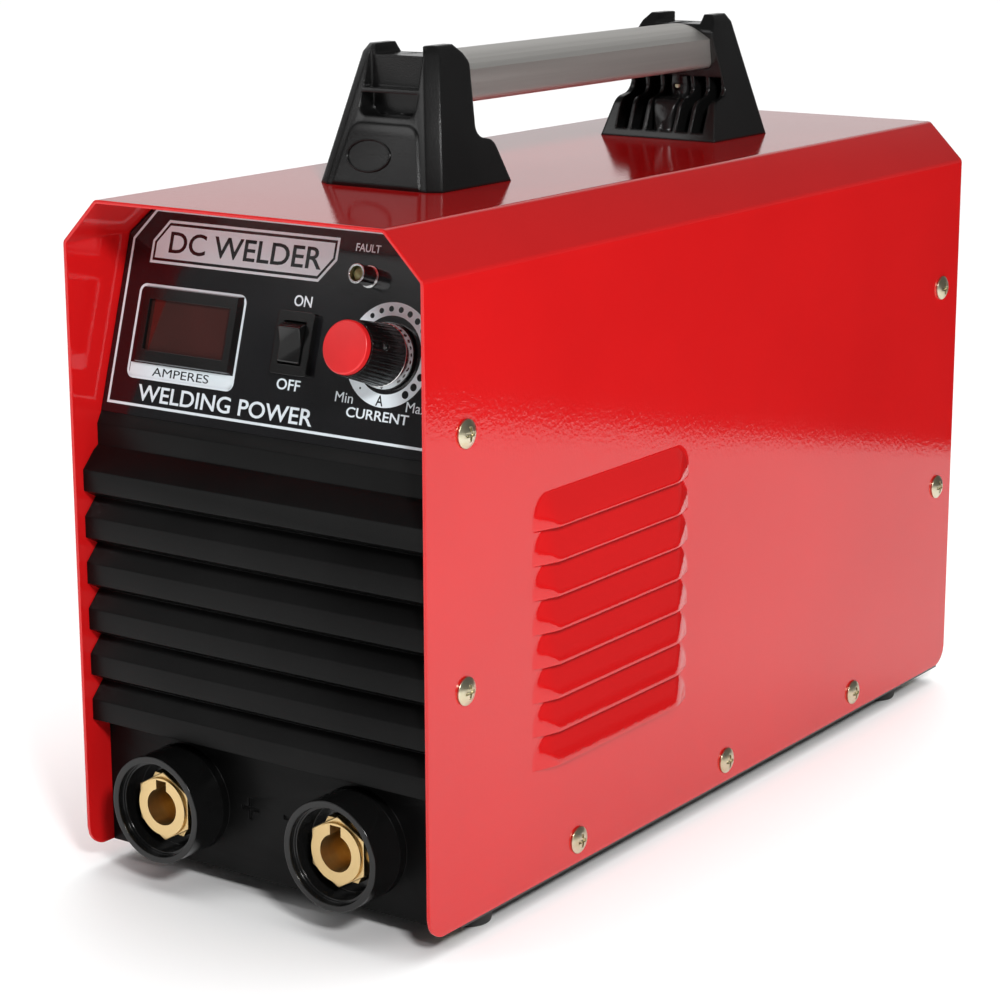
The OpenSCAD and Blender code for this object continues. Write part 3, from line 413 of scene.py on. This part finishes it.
def cover():
    low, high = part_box("cover")
    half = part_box("base_pan")[1].x + SHEET
    wide, corner_step, louvre_step = 12 * MM, 0.8 * MM, 1.2 * MM
    louvre_y = (LOUVRE_MID_Y - LOUVRE_HALF, LOUVRE_MID_Y + LOUVRE_HALF)
    ys = (spread(low.y, low.y + SHEET_CORNER, corner_step)
          + spread(low.y + SHEET_CORNER, louvre_y[0] - CRISP, wide)[1:]
          + spread(louvre_y[0], louvre_y[1], louvre_step)
          + spread(louvre_y[1] + CRISP, high.y - SHEET_CORNER, wide)
          + spread(high.y - SHEET_CORNER, high.y, corner_step)[1:])
    first, last = ys.index(louvre_y[0]), ys.index(louvre_y[1])

    # Section from the middle of the top, over the two bends of the fold, to the louvres
    inset = FOLD_LEG + FOLD_BEND * math.tan(math.pi / 8)
    crease = half - inset
    section = [(x, high.z) for x in spread(0, crease - CRISP, wide) + [crease]]
    bend_steps = 6
    for centre, start in (((crease, high.z - FOLD_BEND), 90),
                          ((half - FOLD_BEND, high.z - inset), 45)):
        for step in range(bend_steps + 1):
            a = math.radians(start - 45 * step / bend_steps)
            point = (centre[0] + FOLD_BEND * math.cos(a), centre[1] + FOLD_BEND * math.sin(a))
            if math.dist(point, section[-1]) > 1e-6:
                section.append(point)
    louvre_top = low.z + LOUVRE_LOW + LOUVRES * LOUVRE_PITCH
    side_top = section[-1][1] - CRISP
    side = [side_top] + spread(side_top, louvre_top + CRISP, 10 * MM)[1:] + [louvre_top]
    section += [(half, z) for z in side]

    def lift(y):
        """Rounded lower corners of the side panels."""
        t = min(y - low.y, high.y - y)
        if t >= SHEET_CORNER:
            return 0.0
        return SHEET_CORNER - math.sqrt(SHEET_CORNER ** 2 - (SHEET_CORNER - t) ** 2)

    bm = bmesh.new()
    row = [bm.verts.new((section[0][0], y, section[0][1])) for y in ys]

    def join(upper, lower):
        for i in range(len(ys) - 1):
            bm.faces.new((upper[i], upper[i + 1], lower[i + 1], lower[i]))

    for x, z in section[1:]:
        new = [bm.verts.new((x, y, z)) for y in ys]
        join(row, new)
        row = new
    for k in range(LOUVRES):
        top = louvre_top - k * LOUVRE_PITCH
        for up in spread(LOUVRE_PITCH, 0, 1.0 * MM)[1:]:
            new = []
            for i, y in enumerate(ys):
                out = louvre_height(y - LOUVRE_MID_Y, up) if first < i < last else 0.0
                new.append(bm.verts.new((half + out, y, top - LOUVRE_PITCH + up)))
            join(row, new)
            row = new
        # The sheet is cut under the lip, so the next row starts again in the panel's plane
        row = [bm.verts.new((half, v.co.y, v.co.z)) if first < i < last else v
               for i, v in enumerate(row)]
    blend_z = low.z + 12 * MM   # below it the rows bend up to the rounded corners
    lip_z = row[0].co.z
    below = ([lip_z - CRISP] + spread(lip_z - CRISP, blend_z, 6 * MM)[1:]
             + spread(blend_z, low.z, 1.5 * MM)[1:])
    for z in below:
        share = max(0.0, (blend_z - z) / (blend_z - low.z))
        new = [bm.verts.new((half, y, z + share * lift(y))) for y in ys]
        join(row, new)
        row = new
    for f in bm.faces:
        f.normal_update()
    inward = [f for f in bm.faces if f.normal.x + f.normal.z < 0]
    bmesh.ops.reverse_faces(bm, faces=inward)
    obj = from_bmesh("cover_sheet", bm, RED)
    mirror = obj.modifiers.new("both_sides", "MIRROR")
    mirror.use_axis[0] = True
    mirror.merge_threshold = 0.00001
    solid = obj.modifiers.new("sheet", "SOLIDIFY")
    solid.thickness = SHEET
    solid.offset = -1
    round_edges(obj, 0.22 * MM, 2, 60)
    apply_modifiers(obj)
    smooth(obj, 50)
    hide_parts("cover")


cover()


# ---- Rounded copies of the pieces in view, with the width of their edges in mm ----

for node, width in {
    "front_panel": 0.35, "rear_panel": 0.6, "base_pan": 0.3,
    "handle_bracket_front": 0.7, "handle_bracket_rear": 0.7,
    "meter_frame": 0.15, "vrd_switch_body": 0.35, "vrd_rocker": 0.5,
    "power_switch_body": 0.5, "power_rocker": 0.6,
    "current_knob": 0.25, "knob_ring": 0.25, "knob_cap": 0.5, "led_holder": 0.2,
    "socket_housing_left": 0.6, "socket_housing_right": 0.6,
    "socket_insert_left": 0.4, "socket_insert_right": 0.4,
    "cable_gland": 0.4, "feet": 0.6, "cover_screws": 0.15, "fan_screws": 0.15,
    "earth_nuts": 0.3,
}.items():
    soften(node, width)

# The socket rims are glossier than the panel, which has the same plastic
for side in ("left", "right"):
    bpy.data.objects[f"socket_housing_{side}_rounded"].data.materials[0] = GLOSS_ABS

for obj in frame["nodes"].values():
    if not obj.hide_render:
        smooth(obj, 30)


# ---- Small parts that the frame leaves plain ----

def ring_between(name, inner, outer, depth, place, material):
    """A flat ring between two outlines with the same number of points, from -depth to 0 in Z."""
    bm = bmesh.new()
    corners = ((inner, 0), (outer, 0), (outer, -depth), (inner, -depth))
    loops = [[bm.verts.new((x, y, z)) for x, y in outline] for outline, z in corners]
    n = len(inner)
    for a, b in zip(loops, loops[1:] + loops[:1]):
        for i in range(n):
            bm.faces.new((a[i], a[(i + 1) % n], b[(i + 1) % n], b[i]))
    bmesh.ops.transform(bm, matrix=place, verts=bm.verts)
    bmesh.ops.recalc_face_normals(bm, faces=bm.faces)
    obj = from_bmesh(name, bm, material)
    round_edges(obj, depth * 0.2, 3, 30)
    smooth(apply_modifiers(obj), 40)


def hexagon(flat, n):
    """n points around a hexagon of that width across its flats."""
    points = []
    for i in range(n):
        a = 2 * math.pi * i / n
        reach = flat / 2 / math.cos((a + math.pi / 6) % (math.pi / 3) - math.pi / 6)
        points.append((reach * math.cos(a), reach * math.sin(a)))
    return points


def oval(rx, ry, n):
    """n points around an oval, by its half widths."""
    turns = [2 * math.pi * i / n for i in range(n)]
    return [(rx * math.cos(a), ry * math.sin(a)) for a in turns]


def socket_collars():
    """Hexagon behind the rim of each brass insert."""
    points, behind = 72, 1.1 * MM
    bore_r, flats, deep = 10.1 * MM, 21.6 * MM, 3 * MM
    inner = oval(bore_r, bore_r, points)
    outer = hexagon(flats, points)
    for side in ("left", "right"):
        low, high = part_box(f"socket_insert_{side}")
        place = Matrix(((1, 0, 0, (low.x + high.x) / 2),
                        (0, 0, -1, low.y + behind),
                        (0, 1, 0, (low.z + high.z) / 2),
                        (0, 0, 0, 1)))
        ring_between(f"socket_collar_{side}", inner, outer, deep, place, BRASS)


def badge_rim():
    """Plain oval rim on the front bracket's outer face."""
    low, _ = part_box("handle_bracket_front")
    sin, cos = math.sin(BRACKET_LEAN), math.cos(BRACKET_LEAN)
    across, up, proud = -4.5 * MM, 10.8 * MM, 0.8 * MM
    half_wide, half_high, band = 8.7 * MM, 5.1 * MM, 0.7 * MM
    place = Matrix(((1, 0, 0, across),
                    (0, sin, -cos, low.y + up * sin / cos - proud),
                    (0, cos, sin, low.z + up),
                    (0, 0, 0, 1)))
    inner = oval(half_wide, half_high, 64)
    outer = oval(half_wide + band, half_high + band, 64)
    ring_between("badge_rim", inner, outer, 0.9 * MM, place, NYLON)


socket_collars()
badge_rim()


# ---- Print on the control face ----

def face_frame():
    """Control face: X across, Y up the slope, Z out of it, with the origin at its lower edge."""
    lip = 0.6 * MM   # the label starts this far up the slope
    low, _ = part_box("control_label")
    sin, cos = math.sin(FACE_TILT), math.cos(FACE_TILT)
    y = low.y - lip * sin + LABEL_T * cos
    z = low.z - lip * cos
    return Matrix(((1, 0, 0, 0), (0, sin, -cos, y), (0, cos, sin, z), (0, 0, 0, 1)))


FACE = face_frame()


def ribbon(bm, points, width):
    """A flat closed line of that width along points, all in mm on the control face."""
    n = len(points)
    pts = [Vector(p) for p in points]
    edges = []
    for i, p in enumerate(pts):
        before = (p - pts[i - 1]).normalized()
        after = (pts[(i + 1) % n] - p).normalized()
        mid = (before + after).normalized()
        across = Vector((-mid.y, mid.x)) * (width / 2) / max(0.3, mid.dot(after))
        edges.append([bm.verts.new((q.x * MM, q.y * MM, LABEL_T)) for q in (p + across, p - across)])
    for a, b in zip(edges, edges[1:] + edges[:1]):
        bm.faces.new((a[0], a[1], b[1], b[0]))


def patch(bm, points, lift=0.0):
    """A flat patch, lift above the control face; all in mm."""
    z = LABEL_T + lift * MM
    bm.faces.new([bm.verts.new((x * MM, y * MM, z)) for x, y in points])


def arc(cx, cy, r, start, end, n):
    """n + 1 points from angle start to angle end, in degrees."""
    turns = [math.radians(start + (end - start) * i / n) for i in range(n + 1)]
    return [(cx + r * math.cos(a), cy + r * math.sin(a)) for a in turns]


def circle(cx, cy, r, n):
    return arc(cx, cy, r, 0, 360, n)[:-1]


def round_box(x0, y0, x1, y1, r, n=5):
    corners = ((x1 - r, y1 - r), (x0 + r, y1 - r), (x0 + r, y0 + r), (x1 - r, y0 + r))
    points = []
    for k, (cx, cy) in enumerate(corners):
        points += arc(cx, cy, r, 90 * k, 90 * k + 90, n)
    return points


def print_piece(name, bm, material, thick=0.03):
    """Stands flat faces off the label as a film, thick mm deep."""
    bmesh.ops.recalc_face_normals(bm, faces=bm.faces)
    for f in bm.faces:
        f.normal_update()
        if f.normal.z < 0:
            f.normal_flip()
    bmesh.ops.transform(bm, matrix=FACE, verts=bm.verts)
    obj = from_bmesh(name, bm, material)
    solid = obj.modifiers.new("film", "SOLIDIFY")
    solid.thickness = thick * MM
    solid.offset = 1
    apply_modifiers(obj)


def panel_lines():
    """Outlines around the whole face, the title and the meter."""
    bm = bmesh.new()
    half, low, shoulder, high, cut = 70.7, 4.2, 60.6, 71.0, 8.4
    ribbon(bm, [(-half, low), (half, low), (half, shoulder),
                (half - cut, high), (cut - half, high), (-half, shoulder)], LINE)
    ribbon(bm, [(-61.6, 53.4), (11.0, 53.4), (17.2, 60.7),
                (17.2, 67.5), (-55.8, 67.5), (-61.6, 60.4)], LINE)
    ribbon(bm, round_box(-64, 13.7, -17.5, 45.3, 2.5), LINE)
    print_piece("panel_lines", bm, INK)


def title_plate():
    """White plate, and the white foot of the meter's outline."""
    bm = bmesh.new()
    patch(bm, [(-60.2, 54.8), (10.4, 54.8), (15.8, 61.2),
               (15.8, 66.1), (-55.2, 66.1), (-60.2, 60.0)])
    patch(bm, [(-63.2, 14.0), (-17.9, 14.0), (-17.9, 18.6), (-63.2, 18.6)])
    print_piece("title_plate", bm, INK)


def dial_ring():
    bm = bmesh.new()
    ribbon(bm, circle(*DIAL_AT, DIAL_R, 96), DIAL_BAND)
    print_piece("dial_ring", bm, INK)


def dial_dots():
    """Dots that grow clockwise from minimum to maximum, 15 degrees apart."""
    first, pitch = 232, 15
    smallest, growth = 0.35, 0.95
    bm = bmesh.new()
    for i in range(DIAL_DOTS):
        a = math.radians(first - pitch * i)
        x = DIAL_AT[0] + DIAL_R * math.cos(a)
        y = DIAL_AT[1] + DIAL_R * math.sin(a)
        r = smallest + growth * (i / (DIAL_DOTS - 1)) ** 0.6
        patch(bm, circle(x, y, r, 20), BLACK_LIFT)
    print_piece("dial_dots", bm, PRINT, thick=0.02)


def lettering(name, text, x, y, height, width, material=INK, lift=0.0):
    """A generic panel word, such as on or off, by its middle and size in mm on the control face."""
    data = bpy.data.curves.new(name, "FONT")
    data.body = text
    data.align_x = "CENTER"
    # Strokes are thickened, save in words with an M, whose narrow corners would cross over
    data.offset = 0.0 if "M" in text else 0.012
    data.extrude = 0.001
    data.resolution_u = 4
    obj = bpy.data.objects.new(name, data)
    bpy.context.scene.collection.objects.link(obj)
    bpy.context.view_layer.update()
    graph = bpy.context.evaluated_depsgraph_get()
    mesh = bpy.data.meshes.new_from_object(obj.evaluated_get(graph))
    bpy.data.objects.remove(obj)
    xs = [v.co.x for v in mesh.vertices]
    ys = [v.co.y for v in mesh.vertices]
    wide = width * MM / (max(xs) - min(xs))
    tall = height * MM / (max(ys) - min(ys))
    mesh.transform(FACE @ Matrix.Translation((x * MM, y * MM, LABEL_T + (0.02 + lift) * MM))
                   @ Matrix.Diagonal((wide, tall, 0.02, 1))
                   @ Matrix.Translation((-(max(xs) + min(xs)) / 2, -(max(ys) + min(ys)) / 2, 0)))
    piece(name, mesh, material)


panel_lines()
title_plate()
dial_ring()
dial_dots()
lettering("word_on", "ON", 6.5, 46.1, 3.7, 7.4)
lettering("word_off", "OFF", 5.9, 18.4, 3.7, 9.8)
lettering("word_current", "CURRENT", 43.6, 12.6, 3.3, 25)
lettering("word_min", "Min", 29.4, 17.0, 3.3, 7.2)
lettering("word_max", "Max", 58.6, 16.8, 3.3, 8.4)
lettering("word_ampere", "A", 43.6, 17.55, 3.4, 2.9, PRINT, BLACK_LIFT)
lettering("word_meter", "AMPERES", -40.5, 16.25, 2.9, 25, PRINT, BLACK_LIFT)
lettering("word_machine", "DC WELDER", -21.5, 60.5, 7.4, 66, PRINT, BLACK_LIFT)
lettering("word_output", "WELDING POWER", -20, 8.7, 5.6, 76)
lettering("word_lamp", "FAULT", 29.5, 65.6, 2.6, 10)


# ---- Floor and light ----

def flat(name, outline, z, material):
    """A flat stage piece, which isn't part of the object."""
    mesh = bpy.data.meshes.new(name)
    mesh.from_pydata([(x, y, z) for x, y in outline], [], [range(len(outline))])
    mesh.materials.append(material)
    obj = bpy.data.objects.new(name, mesh)
    bpy.context.scene.collection.objects.link(obj)
    return obj


def world():
    """Dim studio with one broad white backdrop, behind the machine and to its left."""
    w = bpy.data.worlds.new("studio")
    w.use_nodes = True
    nodes, links = w.node_tree.nodes, w.node_tree.links
    backdrop = Vector((-0.56, 0.80, 0.20)).normalized()
    toward = nodes.new("ShaderNodeVectorMath")
    toward.operation = "DOT_PRODUCT"
    toward.inputs[1].default_value = backdrop
    links.new(nodes.new("ShaderNodeTexCoord").outputs["Generated"], toward.inputs[0])
    level = nodes.new("ShaderNodeMapRange")
    level.interpolation_type = "SMOOTHSTEP"
    span = {"From Min": 0.72, "From Max": 0.93, "To Min": 0.13, "To Max": 0.82}
    for key, value in span.items():
        level.inputs[key].default_value = value
    links.new(toward.outputs["Value"], level.inputs["Value"])
    links.new(level.outputs["Result"], nodes["Background"].inputs["Strength"])
    nodes["Background"].inputs["Color"].default_value = (1, 1, 1, 1)
    bpy.context.scene.world = w


def lamp(name, kind, at, target, energy, **values):
    data = bpy.data.lights.new(name, kind)
    data.energy = energy
    for key, value in values.items():
        setattr(data, key, value)
    obj = bpy.data.objects.new(name, data)
    obj.location = at
    obj.rotation_euler = (Vector(target) - Vector(at)).to_track_quat("-Z", "Y").to_euler()
    bpy.context.scene.collection.objects.link(obj)
    return obj


def stage():
    floor = flat("floor", [(-6, -6), (6, -6), (6, 6), (-6, 6)], 0, floor_material())
    # The pale table ends behind the machine, and only glossy rays see where
    beyond = flat("table_end", [(0, 0.675), (2, -0.007), (6, -0.007), (6, 6), (0, 6)], 0.001,
                  table_end_material())
    beyond.visible_camera = False
    beyond.visible_diffuse = False
    beyond.visible_shadow = False
    lamp("key", "AREA", (1.05, -0.95, 0.95), (0, -0.1, 0.13), 16, shape="DISK", size=0.24)
    lamp("fill", "AREA", (-1.2, -1.5, 1.3), (0, 0, 0.12), 5, shape="DISK", size=1.0)
    # A wide soft sun for the table alone, which keeps it white around the machine's shadow
    overhead = lamp("overhead", "SUN", (0.2, 0.6, 2.5), (0, 0, 0), 3.1, angle=math.radians(75))
    lit = bpy.data.collections.new("table")
    lit.objects.link(floor)
    overhead.light_linking.receiver_collection = lit


world()
stage()
bpy.context.scene.view_settings.view_transform = "Standard"
